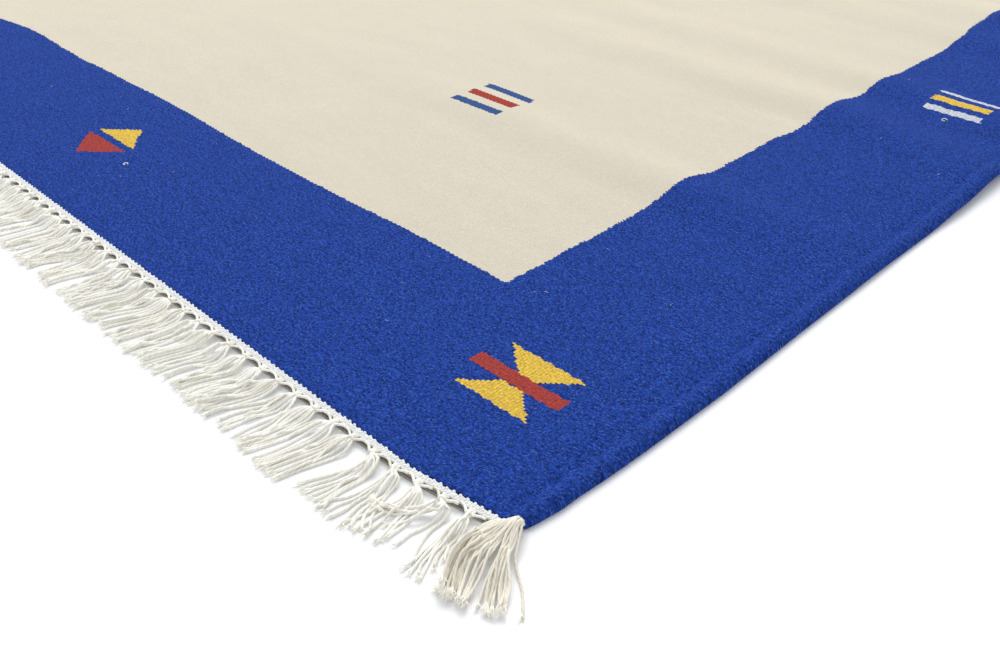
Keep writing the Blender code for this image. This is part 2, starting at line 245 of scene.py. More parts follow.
class CottonSettings(bpy.types.PropertyGroup):
    """Sizes and colours of the cotton band, fringe and tassels."""

    yarn: length_setting("Yarn", 0.0021, "Diameter of a yarn of the fringe")
    yarns: IntProperty(name="Yarns", description="Yarns that hang from one knot", default=7, min=1)
    reach: length_setting("Reach", 0.0635, "How far the fringe reaches from the cloth")
    spread: length_setting("Spread", 0.0150, "Width over which the yarns of a knot lie")
    tassel_yarn: length_setting("Tassel Yarn", 0.0018, "Diameter of a yarn of a tassel")
    tassel_yarns: IntProperty(name="Tassel Yarns", description="Yarns of one tassel", default=40, min=1)
    stitch: length_setting("Stitch", 0.0032, "Length of a stitch of the band")
    cotton: colour_setting("Cotton", (241, 240, 233), "Cotton of the fringe")
    # The shade colours below are mixed in at random and as painted shade in the grooves of the twist.
    shade: colour_setting("Shade", (206, 199, 184), "Darker threads in the cotton")
    band: colour_setting("Band", (231, 233, 232), "Cotton of the band")
    band_shade: colour_setting("Band Shade", (202, 202, 197), "Darker threads in the band")
    # Painted shade: the two dark colours below are for cords under the band, which stand in for the shadow in the
    # slots between the knots.
    painted_shade_cord: colour_setting("Cord", (170, 166, 158), "Cord under the band")
    painted_shade_cord_dark: colour_setting("Cord Shade", (98, 94, 86), "Darker threads in the cord")
    tassel_shade: colour_setting("Tassel Shade", (194, 188, 172), "Darker threads in the tassels")
    tassel: colour_setting("Tassel", (232, 227, 214), "Cotton of the tassels")


class StageSettings(bpy.types.PropertyGroup):
    """Floor and light."""

    floor: colour_setting("Floor", (246, 247, 249), "Colour of the floor")
    floor_size: length_setting("Floor Size", 14.0, "Length of one side of the floor")
    sky: FloatProperty(name="Sky", description="Strength of the light from all round", default=0.74, min=0.0)
    lamp: FloatProperty(name="Lamp", description="Power of the large lamp", default=512.0, min=0.0, unit="POWER")


# Shader expressions

class Socket:
    """An output of a node, which can stand in a Python expression."""

    def __init__(self, finish, socket):
        self.finish = finish
        self.socket = socket

    def __add__(self, other):
        return self.finish.maths("ADD", self, other)

    def __sub__(self, other):
        return self.finish.maths("SUBTRACT", self, other)

    def __mul__(self, other):
        return self.finish.maths("MULTIPLY", self, other)

    def __truediv__(self, other):
        return self.finish.maths("DIVIDE", self, other)

    def __pow__(self, other):
        return self.finish.maths("POWER", self, other)

    def __radd__(self, other):
        return self.finish.maths("ADD", other, self)

    def __rsub__(self, other):
        return self.finish.maths("SUBTRACT", other, self)

    def __rmul__(self, other):
        return self.finish.maths("MULTIPLY", other, self)

    def __neg__(self):
        return self.finish.maths("MULTIPLY", self, -1.0)

    def __abs__(self):
        return self.finish.maths("ABSOLUTE", self)

    def __gt__(self, other):
        return self.finish.maths("GREATER_THAN", self, other)

    def __lt__(self, other):
        return self.finish.maths("LESS_THAN", self, other)

    def floor(self):
        return self.finish.maths("FLOOR", self)

    def fraction(self):
        return self.finish.maths("FRACT", self)

    def sine(self):
        return self.finish.maths("SINE", self)


class Finish:
    """A material and its nodes."""

    def __init__(self, name):
        self.material = bpy.data.materials.new(name)
        self.material.use_nodes = True
        self.tree = self.material.node_tree
        self.tree.nodes.clear()

    def node(self, kind, settings=None, values=None, output=0):
        """Add a node of a type with its settings and the values or links of its sockets."""
        node = self.tree.nodes.new(kind)
        for name, setting in (settings or {}).items():
            setattr(node, name, setting)
        for key, value in (values or {}).items():
            if isinstance(value, Socket):
                self.tree.links.new(value.socket, node.inputs[key])
            else:
                node.inputs[key].default_value = value
        return Socket(self, node.outputs[output]) if len(node.outputs) else None

    def maths(self, operation, *values, clamp=False):
        settings = {"operation": operation, "use_clamp": clamp}
        return self.node("ShaderNodeMath", settings, dict(enumerate(values)))

    def least(self, first, second):
        return self.maths("MINIMUM", first, second)

    def most(self, first, second):
        return self.maths("MAXIMUM", first, second)

    def clamp(self, value):
        return self.maths("ADD", value, 0.0, clamp=True)

    def between(self, value, low, high):
        """Rise smoothly from 0 at low to 1 at high."""
        settings = {"interpolation_type": "SMOOTHSTEP"}
        return self.node("ShaderNodeMapRange", settings, {"Value": value, "From Min": low, "From Max": high})

    def mix(self, factor, first, second, blend="MIX"):
        """Mix two colours."""
        values = {0: factor}
        for key, colour in ((6, first), (7, second)):
            values[key] = colour if isinstance(colour, Socket) else (*colour, 1.0)
        return self.node("ShaderNodeMix", {"data_type": "RGBA", "blend_type": blend}, values, 2)

    def tint(self, colour, amount):
        """Make a colour lighter or darker by an amount that varies."""
        grey = self.join(amount, amount, amount)
        scale = {"operation": "MULTIPLY"}
        return self.node("ShaderNodeVectorMath", scale, {0: colour, 1: grey})

    def split(self, vector):
        node = self.node("ShaderNodeSeparateXYZ", None, {0: vector}).socket.node
        return tuple(Socket(self, output) for output in node.outputs)

    def join(self, x, y, z=0.0):
        return self.node("ShaderNodeCombineXYZ", None, {0: x, 1: y, 2: z})

    def attribute(self, name):
        settings = {"attribute_type": "GEOMETRY", "attribute_name": name}
        return self.node("ShaderNodeAttribute", settings, None, 1)

    def noise(self, vector, scale, detail=2.0, roughness=0.5):
        """Smooth noise round 0, mostly between -0.5 and 0.5."""
        values = {"Vector": vector, "Scale": scale, "Detail": detail, "Roughness": roughness}
        return self.node("ShaderNodeTexNoise", {"noise_dimensions": "3D"}, values) - 0.5

    def chance(self, vector):
        """A different number from 0 to 1 for every whole place."""
        return self.node("ShaderNodeTexWhiteNoise", {"noise_dimensions": "3D"}, {"Vector": vector})

    def relief(self, height, distance, strength=1.0):
        values = {"Height": height, "Distance": distance, "Strength": strength}
        return self.node("ShaderNodeBump", None, values)

    def close(self, colour, normal, roughness, painted_glow=0.0):
        """End in a cloth-like shader. The glow is painted light: emission in the surface's own colour, which stands in
        for the light that thin white fibres let through.
        """
        values = {"Base Color": colour, "Roughness": roughness, "Normal": normal, "Specular IOR Level": 0.08,
                  "Emission Color": colour, "Emission Strength": painted_glow}
        shader = self.node("ShaderNodeBsdfPrincipled", None, values)
        self.node("ShaderNodeOutputMaterial", None, {"Surface": shader})
        return self.material


def wool_finish(settings):
    """Weft-faced wool: grains in ribs over the warps, with the pattern looked up grain by grain."""
    finish = Finish("woven_wool")
    place = finish.attribute("flat_place")
    u, v, roll = finish.split(place)
    drift = finish.noise(finish.join(u * 22.0, v * 9.0), 1.0) * 1.3
    rib = u / settings.warp_pitch
    column = rib.floor()
    half = column / 2.0
    odd = (half - half.floor()) * 2.0
    grain = v / settings.weft_pitch + odd / 2.0 + drift
    row = grain.floor()
    across = rib - column - 0.5
    along = grain - row - 0.5
    cell = finish.join(column, row)
    chance = finish.chance(cell)
    tone = finish.chance(finish.join(column, row, 7.0))
    centre_u = (column + 0.5) * settings.warp_pitch
    centre_v = (row + 0.5 - odd / 2.0 - drift) * settings.weft_pitch
    colour, flecked, woven = pattern_colour(finish, settings, u, centre_u, centre_v, column, row)
    thick = across * across * 4.0
    tall = along * along * 4.0
    grain_top = finish.clamp(1.0 - thick * 0.55) * finish.clamp(1.0 - tall * 0.75)
    # Painted shade at the corners between the grains.
    grain_gap_shade = thick * tall
    # Painted shade in dimples between pairs of grains, used in the motifs.
    pair = v / (2.0 * settings.weft_pitch) + odd / 2.0 + drift / 2.0
    along = pair - pair.floor() - 0.5
    dimple_shade = thick * along * along * 4.0
    dimple_shade = dimple_shade * dimple_shade
    fibre = finish.noise(finish.join(u * 900.0, v * 3600.0), 1.0, 3.0, 0.6)
    streak = finish.noise(finish.join(u * 60.0, v * 480.0), 1.0, 3.0, 0.6)
    clump = finish.noise(finish.join(u * 430.0, v * 430.0, 3.0), 1.0, 3.0, 0.7)
    cloud = finish.noise(finish.join(u * 9.0, v * 30.0), 1.0, 2.0)
    fleck = (chance - 0.5) * (0.06 + 0.52 * flecked)
    spots = clump * (0.14 + 4.0 * flecked + 1.1 * woven) + streak * (0.08 + 0.14 * flecked) + fibre * (0.06 + 0.3 * flecked)
    # Painted shade along a crease across the right border.
    crease_shade = finish.clamp(1.0 - abs(v + 0.410 - u * 0.27) / 0.006) * finish.between(u, 0.50, 0.56)
    amount = 1.0 + fleck + spots + cloud * 0.08 - crease_shade * 0.22 - grain_gap_shade * (0.10 + 0.12 * flecked) - dimple_shade * woven * 1.3
    colour = finish.tint(colour, finish.most(amount, 0.25 + 0.17 * flecked))
    # Painted highlight: loose fibres that catch the light, mixed in as a lighter blue, mostly in the flecked wool of
    # the border.
    painted_fuzz_highlight = finish.noise(finish.join(u * 640.0, v * 640.0, 9.0), 1.0, 3.0, 0.7)
    fuzz_highlight_mask = finish.clamp(painted_fuzz_highlight * 4.0 + (tone - 0.5) * 0.4 - 0.10) * (0.03 + 0.72 * flecked)
    colour = finish.mix(fuzz_highlight_mask, colour, settings.painted_fuzz_highlight)
    wrap = (v * (2.0 * math.pi / settings.wrap_pitch) + roll * 260.0 + drift * 2.0).sine() * 0.5 + 0.5
    height = grain_top * (1.0 - 0.6 * flecked) + fibre * 0.5 + clump * (0.9 - 0.5 * flecked) + chance * 0.2
    height = height + wrap * finish.between(roll, 0.0, 0.004) * 0.3
    normal = finish.relief(height, settings.relief)
    return finish.close(colour, normal, 0.95)


def pattern_colour(finish, settings, plain_u, u, v, column, row):
    """Colour of a grain by its place, how much that wool is flecked, and whether it is in a motif."""
    jag = (finish.chance(finish.join(row, 3.0, 1.0)) - 0.5) * settings.warp_pitch * 0.5
    step = (finish.chance(finish.join((column / 2.0).floor(), 5.0, 2.0)) - 0.5) * settings.weft_pitch * 0.6
    jag = jag + finish.noise(finish.join(v * 26.0, u * 3.0), 1.0) * settings.wobble * 2.0
    u = u + jag
    v = v + finish.noise(finish.join(u * 24.0, v * 3.0, 4.0), 1.0) * settings.wobble * 1.5 + step
    left = u < 0.0
    side = abs(u) - left * ((SIDE_BORDER - LEFT_BORDER) / 2)
    end = abs(v)
    narrow = 0.0045 * (finish.between(v, 0.59 - LENGTH / 2, 0.63 - LENGTH / 2) - finish.between(v, 0.03, 0.07))
    edge_u = plain_u + jag * 1.8
    from_sides = finish.least(WIDTH / 2 - SIDE_BORDER + narrow - edge_u, edge_u + (WIDTH / 2 - LEFT_BORDER))
    in_field = finish.least(from_sides, LENGTH / 2 - END_BORDER - end) > 0.0
    colour = finish.mix(in_field, settings.blue, settings.cream)
    flecked = 1.0 - in_field
    woven = 0.0
    turned = u * (1.0 - 2.0 * (v > 0.0))
    slant = (end - 0.5367) * 0.072 + 0.2138
    for shape, wool in (
        (block(finish, side - 0.5920, end - 0.8870, 0.0425, 0.0068), settings.red),
        (taper(finish, side - 0.5938, abs(end - 0.8870), (0.0070, 0.0090), (0.0306, 0.0360)), settings.yellow),
        (taper(finish, u - 0.006, end - 0.8890, (-0.0298, 0.0010), (0.0000, 0.0355)), settings.yellow),
        (taper(finish, u - 0.005, end - 0.8895, (0.0085, 0.0373), (0.0429, 0.0010)), settings.red),
        (block(finish, side - 0.5995, end - 0.1855, 0.0325, 0.0074), settings.yellow),
        (block(finish, side - 0.6015, end - 0.2100, 0.0328, 0.0054), settings.white),
        (block(finish, side - 0.5980, end - 0.1600, 0.0340, 0.0045), settings.white),
        (block(finish, turned - slant, end - 0.5367, 0.0360, 0.0077), settings.red),
        (block(finish, turned - slant, abs(end - 0.5367) - 0.0279, 0.0362, 0.0060), settings.pale_blue),
    ):
        colour = finish.mix(shape, colour, wool)
        flecked = flecked * (1.0 - shape * 0.85)
        woven = finish.most(woven, shape)
    return colour, flecked, woven


def block(finish, across, along, half_width, half_depth):
    """1 inside a rectangle round the place where across and along are 0."""
    return finish.least(half_width - abs(across), half_depth - abs(along)) > 0.0


def taper(finish, across, along, first, second):
    """1 inside a shape that goes from one half width to another, each given with its place along."""
    (start, wide), (stop, narrow) = first, second
    half_width = wide + (along - start) * ((narrow - wide) / (stop - start))
    inside = finish.least(along - start, stop - along)
    return finish.least(half_width - abs(across), inside) > 0.0


def cotton_finish(name, base, shade):
    """Plied cotton yarn, with its twist along the yarn."""
    finish = Finish(name)
    around, along, tone = finish.split(finish.attribute("yarn_place"))
    point = finish.node("ShaderNodeTexCoord", None, None, 3)
    ply = (around * (2.0 * math.pi * 2.0) + along * (2.0 * math.pi / 0.0046)).sine()
    thread = finish.noise(finish.join(around * 9.0, along * 180.0 + around * 2.0, tone * 50.0), 1.0, 3.0, 0.6)
    blotch = finish.noise(point, 90.0, 3.0)
    dust = finish.noise(point, 900.0, 2.0)
    # Darker threads and blotches at random, with painted shade in the grooves of the twist.
    amount = finish.clamp(0.22 - ply * 0.10 + thread * 0.5 + blotch * 0.8 + (tone - 0.5) * 0.5)
    colour = finish.mix(amount, base, shade)
    # A faint painted highlight on the ridges of the twist, and a fine random speckle.
    colour = finish.tint(colour, 1.0 + ply * 0.015 + dust * 0.06)
    normal = finish.relief(ply * 0.4 + thread * 0.7, 0.00022)
    # The 0.08 is painted glow, emission that brightens the yarns.
    return finish.close(colour, normal, 0.88, 0.08)


def plain_cotton_finish(name, base, shade, painted_glow=0.0):
    """Fine cotton of stitches and loose fibres."""
    finish = Finish(name)
    point = finish.node("ShaderNodeTexCoord", None, None, 3)
    blotch = finish.noise(point, 140.0, 3.0)
    thread = finish.noise(point, 1500.0, 3.0, 0.6)
    colour = finish.mix(finish.clamp(0.3 + blotch * 0.9 + thread * 0.5), base, shade)
    normal = finish.relief(thread + blotch * 0.5, 0.00015)
    return finish.close(colour, normal, 0.88, painted_glow)


def floor_finish(settings):
    finish = Finish("pale_floor")
    point = finish.node("ShaderNodeTexCoord", None, None, 3)
    cloud = finish.noise(point, 3.0, 2.0)
    colour = finish.tint(finish.mix(0.0, settings.floor, settings.floor), 1.0 + cloud * 0.01)
    grain = finish.noise(point, 400.0, 2.0)
    return finish.close(colour, finish.relief(grain, 0.0001, 0.2), 0.75)


# Shapes

def read_table(value, table, key, column):
    """Read one column of a table at values of its key, straight between the rows."""
    return np.interp(value, [row[key] for row in table], [row[column] for row in table])


def smooth_noise(x, y, size, seed):
    """Smooth hills of a size, between -1 and 1."""
    lattice = np.random.default_rng(seed).uniform(-1.0, 1.0, (64, 64))
    column, row = x / size, y / size
    left, low = np.floor(column).astype(int), np.floor(row).astype(int)
    ease_x, ease_y = (part * part * (3.0 - 2.0 * part) for part in (column - left, row - low))
    corners = [[lattice[(low + j) % 64, (left + i) % 64] for i in (0, 1)] for j in (0, 1)]
    near, far = (pair[0] + (pair[1] - pair[0]) * ease_x for pair in corners)
    return near + (far - near) * ease_y


def smooth_path(points, samples):
    """Evenly counted points of a smooth curve through the given ones. Both are arrays of paths."""
    points = np.asarray(points, float)
    count = points.shape[-2]
    before = np.concatenate([2.0 * points[..., :1, :] - points[..., 1:2, :], points[..., :-1, :]], axis=-2)
    after = np.concatenate([points[..., 1:, :], 2.0 * points[..., -1:, :] - points[..., -2:-1, :]], axis=-2)
    slope = (after - before) / 2.0
    place = np.linspace(0.0, count - 1.0, samples)
    start = np.minimum(place.astype(int), count - 2)
    t = (place - start)[:, None]
    first, second = points[..., start, :], points[..., start + 1, :]
    slope_first, slope_second = slope[..., start, :], slope[..., start + 1, :]
    return ((2 * t ** 3 - 3 * t ** 2 + 1) * first + (t ** 3 - 2 * t ** 2 + t) * slope_first
            + (3 * t ** 2 - 2 * t ** 3) * second + (t ** 3 - t ** 2) * slope_second)


class Skein:
    """Tubes that are joined into one mesh, with their place round and along each yarn."""

    def __init__(self, name, *materials):
        self.name = name
        self.materials = materials
        self.finishes = []
        self.points = []
        self.faces = []
        self.places = []
        self.count = 0

    def add(self, paths, radii, sides=7, tones=None, finish=0):
        """Skin paths, an array of yarns by samples by 3, with radii for each sample."""
        yarns, samples = paths.shape[:2]
        radii = np.broadcast_to(radii, (yarns, samples))
        tones = np.zeros(yarns) if tones is None else tones
        steps = np.gradient(paths, axis=1)
        tangent = steps / np.linalg.norm(steps, axis=2, keepdims=True)
        normal = np.cross(tangent[:, 0], (0.31, 0.17, 1.0))
        turns = np.arange(sides) * (2.0 * math.pi / sides)
        rings = np.empty((yarns, samples, sides, 3))
        for k in range(samples):
            along = tangent[:, k]
            normal = normal - along * np.sum(normal * along, axis=1, keepdims=True)
            normal = normal / np.linalg.norm(normal, axis=1, keepdims=True)
            other = np.cross(along, normal)
            ring = (normal[:, None] * np.cos(turns)[:, None] + other[:, None] * np.sin(turns)[:, None])
            rings[:, k] = paths[:, k, None] + ring * radii[:, k, None, None]
        lengths = np.linalg.norm(np.diff(paths, axis=1), axis=2)
        lengths = np.concatenate([np.zeros((yarns, 1)), np.cumsum(lengths, axis=1)], axis=1)
        index = self.count + np.arange(yarns * samples * sides).reshape(yarns, samples, sides)
        after = np.roll(index, -1, axis=2)
        quads = np.stack([index[:, :-1], after[:, :-1], after[:, 1:], index[:, 1:]], axis=-1)
        around = np.arange(sides) / sides
        place = np.empty(quads.shape + (3,))
        for corner, (turn, level) in enumerate(((0, 0), (1, 0), (1, 1), (0, 1))):
            place[..., corner, 0] = around + turn / sides
            place[..., corner, 1] = lengths[:, level:samples - 1 + level, None]
            place[..., corner, 2] = tones[:, None, None]
        self.points.append(rings.reshape(-1, 3))
        self.faces.extend(quads.reshape(-1, 4).tolist())
        self.places.append(place.reshape(-1, 3))
        for ends, length in ((index[:, 0, ::-1], lengths[:, 0]), (index[:, -1], lengths[:, -1])):
            self.faces.extend(ends.tolist())
            cap = np.stack([np.zeros(yarns), length, tones], axis=1)
            self.places.append(np.repeat(cap, sides, axis=0))
        self.count += yarns * samples * sides
        self.finishes.extend([finish] * (len(self.faces) - len(self.finishes)))

    def build(self):
        item = make_piece(self.name, np.concatenate(self.points), self.faces, *self.materials)
        item.data.polygons.foreach_set("material_index", self.finishes)
        attribute = item.data.attributes.new("yarn_place", "FLOAT_VECTOR", "CORNER")
        attribute.data.foreach_set("vector", np.concatenate(self.places).ravel())
        return item


def make_piece(name, points, faces, *materials):
    mesh = bpy.data.meshes.new(name)
    mesh.from_pydata(points.tolist(), [], faces)
    mesh.shade_smooth()
    for material in materials:
        mesh.materials.append(material)
    item = bpy.data.objects.new(name, mesh)
    bpy.context.scene.collection.objects.link(item)
    return item


class Pile:
    """Heights of what lies on the floor, so that yarns lie over one another."""

    def __init__(self, low, high, cell=0.0005):
        self.low = np.array(low)
        self.cell = cell
        size = np.ceil((np.array(high) - self.low) / cell).astype(int) + 3
        self.heights = np.zeros(size)

    def cells(self, path, reach):
        """Cells under a path, with those beside it up to a reach."""
        middle = ((path[:, :2] - self.low) / self.cell).astype(int) + 1
        steps = np.arange(-reach, reach + 1)
        spread = np.array([(i, j) for i in steps for j in steps if i * i + j * j <= (reach + 0.5) ** 2])
        cells = middle[:, None] + spread[None]
        return tuple(np.clip(cells[..., k], 0, self.heights.shape[k] - 1) for k in (0, 1))

    def lay(self, path, radius, slope=0.40, squash=0.72):
        """Lift a path over what lies under it, and add it to the pile. The path is changed in place."""
        support = self.heights[self.cells(path, 1)].max(axis=1)
        height = np.maximum(path[:, 2], support + radius)
        drop = np.linalg.norm(np.diff(path[:, :2], axis=0), axis=1) * slope
        for k in range(1, len(height)):
            height[k] = max(height[k], height[k - 1] - drop[k - 1])
        for k in range(len(height) - 2, -1, -1):
            height[k] = max(height[k], height[k + 1] - drop[k])
        path[:, 2] = height
        cells = self.cells(path, max(1, round(radius * 0.7 / self.cell)))
        top = np.broadcast_to((height + radius * squash)[:, None], cells[0].shape)
        np.maximum.at(self.heights, cells, top)


# Cloth

def ripple_rise(x, along):
    """Height of the ripples above the floor."""
    places = (-WIDTH / 2, 0.0, WIDTH / 2 - SIDE_BORDER, WIDTH / 2)
    rise = np.zeros(np.broadcast(x, along).shape)
    for row in RIPPLES:
        crest = np.interp(x, places[2:], (row["crest_field"], row["crest_edge"]))
        height = np.interp(x, places, (row["left"], row["middle"], row["field"], row["edge"]))
        offset = np.minimum(np.abs(along - crest) / row["half"], 1.0)
        rise += height * np.cos(offset * math.pi / 2) ** 2
    return rise


def end_line(x):
    """Y of the front end of the cloth."""
    return read_table(WIDTH / 2 - np.abs(x), END_DRAW, "inset", "draw") - LENGTH / 2


def place_cloth(x, y, height):
    """Put points of the flat cloth where they lie: swollen, drawn in at the ends and over the ripples."""
    inset = np.maximum(WIDTH / 2 - np.abs(x), 0.0)
    along = LENGTH / 2 - np.abs(y)
    nearness = np.clip(1.0 - inset / SIDE_BORDER, 0.0, 1.0)
    outward = nearness * read_table(along, SELVEDGE_SWELL, "along", "out")
    height = height * read_table(along, END_EDGE, "along", "share")
    fade = np.clip(1.0 - along / END_DRAW_FADE, 0.0, 1.0)
    drawn = fade * read_table(inset, END_DRAW, "inset", "draw")
    bow = read_table(x, WEFT_BOW, "x", "shift") * np.interp(y + LENGTH / 2, BOW_REACH, (0.0, 1.0, 1.0, 0.0))
    lift = ripple_rise(x, y + LENGTH / 2)
    uneven = smooth_noise(x + 3.0, y + 3.0, 0.045, 11) * 0.00035 + smooth_noise(x + 3.0, y + 3.0, 0.016, 12) * 0.00018
    top = np.clip(height / THICKNESS, 0.0, 1.0)
    return np.stack([x + np.sign(x) * outward, y - np.sign(y) * drawn + bow, height + lift + uneven * top], axis=-1)


def cloth_section():
    """Half of the cloth's cross-section: the roll in fine steps, then the flat cloth to the middle."""
    points = [[(row["inset"], row["height"], 0.0) for row in ROLL_SECTION]]
    roll = smooth_path(points, ROLL_STATIONS)[0]
    steps = round((WIDTH / 2 - roll[-1, 0]) / 0.010)
    flat = np.linspace(roll[-1, 0], WIDTH / 2, steps + 1)[1:]
    return roll[:, :2], flat


def end_rows(count):
    """Places of the rows along the cloth, even but for the closer ones at each end."""
    edge = [row["along"] for row in END_EDGE]
    plain = np.linspace(edge[-1], LENGTH / 2, count // 2 - len(edge) + 2)[1:]
    half = np.concatenate([edge, plain]) - LENGTH / 2
    return np.concatenate([half, -half[-2::-1]])


def build_cloth(settings, material):
    """One closed sheet, with finer rows along its rolled selvedges."""
    roll, flat = cloth_section()
    fine = 5
    coarse_rows = 260
    fine_rows = coarse_rows * fine
    coarse_y = end_rows(coarse_rows)
    fine_y = np.interp(np.arange(fine_rows + 1) / fine, np.arange(coarse_rows + 1), coarse_y)
    points = []
    flats = []
    wrap_turn = 2.0 * math.pi / settings.wrap_pitch

    def add(x, y, height, raised):
        start = sum(len(block) for block in points)
        points.append(place_cloth(x.ravel(), y.ravel(), height.ravel()))
        flats.append(np.stack([x.ravel(), y.ravel(), raised.ravel()], axis=1))
        return start + np.arange(x.size).reshape(x.shape)

    grids = {}
    for side in (-1.0, 1.0):
        y, inset = np.meshgrid(fine_y, roll[:, 0], indexing="ij")
        height = np.broadcast_to(roll[:, 1], y.shape)
        raised = np.clip(1.0 - inset / roll[-1, 0], 0.0, 1.0) * 0.021
        uneven = smooth_noise(y + 5.0, y * 0.0, 0.02, 14)
        swing = np.sin(y * wrap_turn + np.arange(len(roll)) * 0.5 + uneven * 1.6) * 0.00022
        swing = swing * (0.6 + 0.4 * uneven) * np.clip(raised / 0.006, 0.0, 1.0)
        grown = height + swing * np.clip(height / 0.004, 0.0, 1.0)
        grids[side] = add(side * (WIDTH / 2 - inset), y, grown, raised)
    inner = WIDTH / 2 - flat
    across = np.concatenate([-inner, inner[-2::-1]])
    y, x = np.meshgrid(coarse_y, across, indexing="ij")
    field = add(x, y, np.full(x.shape, THICKNESS), np.zeros(x.shape))
    faces = []
    for side, grid in grids.items():
        quads = np.stack([grid[:-1, :-1], grid[:-1, 1:], grid[1:, 1:], grid[1:, :-1]], axis=-1).reshape(-1, 4)
        faces.extend((quads if side < 0 else quads[:, ::-1]).tolist())
        edge = field[:, 0] if side < 0 else field[:, -1]
        for k in range(coarse_rows):
            fan = [*grid[k * fine:(k + 1) * fine + 1, -1][::-1].tolist(), int(edge[k]), int(edge[k + 1])]
            faces.append(fan if side < 0 else fan[::-1])
    quads = np.stack([field[:-1, :-1], field[:-1, 1:], field[1:, 1:], field[1:, :-1]], axis=-1).reshape(-1, 4)
    faces.extend(quads.tolist())
    left, right = grids[-1.0], grids[1.0]
    for k in range(fine_rows):
        faces.append([int(left[k, 0]), int(left[k + 1, 0]), int(right[k + 1, 0]), int(right[k, 0])])
    for row, fine_row, turn in ((0, 0, 1), (-1, -1, -1)):
        rim = [*left[fine_row].tolist(), *field[row].tolist(), *right[fine_row][::-1].tolist()]
        faces.append(rim[::-1][::turn])
    item = make_piece("rug_cloth", np.concatenate(points), faces, material)
    attribute = item.data.attributes.new("flat_place", "FLOAT_VECTOR", "POINT")
    attribute.data.foreach_set("vector", np.concatenate(flats).ravel())
    return item


# Cotton band

def knot_places():
    return np.linspace(FIRST_KNOT_INSET - WIDTH / 2, WIDTH / 2 - FIRST_KNOT_INSET, KNOTS)


def turn_half(paths):
    """Turn paths half round the middle of the rug, from the front end to the back end."""
    return paths * np.array((-1.0, -1.0, 1.0))


def braid_band(name, back, settings, materials, seed):
    """Courses of slanted stitches across the end of the cloth, the first of nubs over the wool, two cores, and two
    dark cords low under the band that are painted shade in the slots between the knots.
    """
    chance = np.random.default_rng(seed)
    skein = Skein(name, *materials)
    reach = WIDTH / 2 - BAND_INSET
    for order, course in enumerate(BAND_COURSES):
        count = round(2 * reach / course["pitch"])
        x = (np.arange(count) + 0.5) * (2 * reach / count) - reach + chance.uniform(-0.0004, 0.0004, count)
        half = settings.stitch / 2 * chance.uniform(0.85, 1.15, count)
        out = course["out"] + chance.uniform(-0.0003, 0.0003, count)
        keys = np.empty((count, 3, 3))
        for k, share in enumerate((-1.0, 0.0, 1.0)):
            keys[:, k, 0] = x + half * share * course["lean"]
            keys[:, k, 1] = end_line(keys[:, k, 0]) - out - half * share * course["depth"]
            keys[:, k, 2] = course["height"] - abs(share) * 0.0005 + chance.uniform(-0.0002, 0.0002, count)
        radii = course["radius"] * np.array((0.5, 0.92, 1.0, 0.92, 0.5)) * chance.uniform(0.88, 1.12, (count, 1))
        paths = smooth_path(keys, 5)
        skein.add(turn_half(paths) if back else paths, radii, 6, chance.uniform(0.0, 1.0, count))
    core = np.linspace(-reach, reach, 160)
    # Two cores of band cotton, then two dark cords low under the band: painted shade for the slots between the knots.
    for out, height, radius, finish in ((0.0012, 0.0044, 0.0008, 0), (0.0032, 0.0042, 0.0011, 0),
                                        (0.0030, 0.0019, 0.0018, 1), (0.0054, 0.0009, 0.0009, 1)):
        path = np.stack([core, end_line(core) - out, np.full(core.size, height)], axis=1)[None]
        skein.add(turn_half(path) if back else path, radius, 6, None, finish)
    return skein.build()


def scatter_lint(settings, material):
    """Short white fibres that cling to the wool, and the two curls near the right edge."""
    chance = np.random.default_rng(51)
    skein = Skein("cotton_lint", material)
    turns = np.linspace(0.3, 5.6, 12)
    for inset, along, size in ((0.6305, 0.0882, 0.0022), (0.0992, 0.7697, 0.0030)):
        x = WIDTH / 2 - inset + np.cos(turns) * size * (1.0 - turns * 0.05)
        y = along - LENGTH / 2 + np.sin(turns) * size
        skein.add(np.stack([x, y, cloth_top(x, y) + 0.0007], axis=1)[None], 0.00050, 4)
    count = 130
    middle = chance.uniform((-0.66, -0.97), (0.66, 0.97), (count, 2))
    heading = chance.uniform(0.0, math.pi, count)
    half = chance.uniform(0.0008, 0.0024, count)
    bow = chance.uniform(-0.5, 0.5, count)
    x, y = (middle[:, k, None] + half[:, None] * np.stack([-way, -bow * turn, way], axis=1)
            for k, way, turn in ((0, np.cos(heading), np.sin(heading)), (1, np.sin(heading), -np.cos(heading))))
    skein.add(np.stack([x, y, cloth_top(x, y) + 0.0005], axis=2), (0.00010, 0.00014, 0.00008), 3)
    return skein.build()


def cloth_top(x, y):
    return THICKNESS + ripple_rise(x, y + LENGTH / 2)


# Fringe

def fray(skein, tips, directions, radius, chance, count, length):
    """Let fine fibres spread from the tips of yarns."""
    shape = (len(tips), count)
    turn = chance.normal(0.0, 0.42, shape)
    rise = chance.uniform(-0.15, 0.30, shape)
    reach = length * chance.uniform(0.5, 1.1, shape)
    heading = np.arctan2(directions[:, 1], directions[:, 0])[:, None]
    bend = chance.normal(0.0, 0.5, shape)
    place = np.repeat(tips[:, None], count, axis=1) + chance.normal(0.0, radius * 0.4, shape + (3,))
    keys = []
    for k in range(3):
        keys.append(place)
        angle = heading + turn * (0.4 + 0.5 * k) + bend * k / 2.0
        step = np.stack([np.cos(angle), np.sin(angle), rise * (1.0 - 0.6 * k)], axis=-1)
        place = place + step * reach[..., None] / 2.0
    keys = np.stack(keys, axis=2).reshape(-1, 3, 3)
    keys[..., 2] = np.maximum(keys[..., 2], 0.0003)
    radii = np.array((0.00050, 0.00040, 0.00018))
    skein.add(keys, radii, 3, chance.uniform(0.0, 1.0, len(keys)), 1)


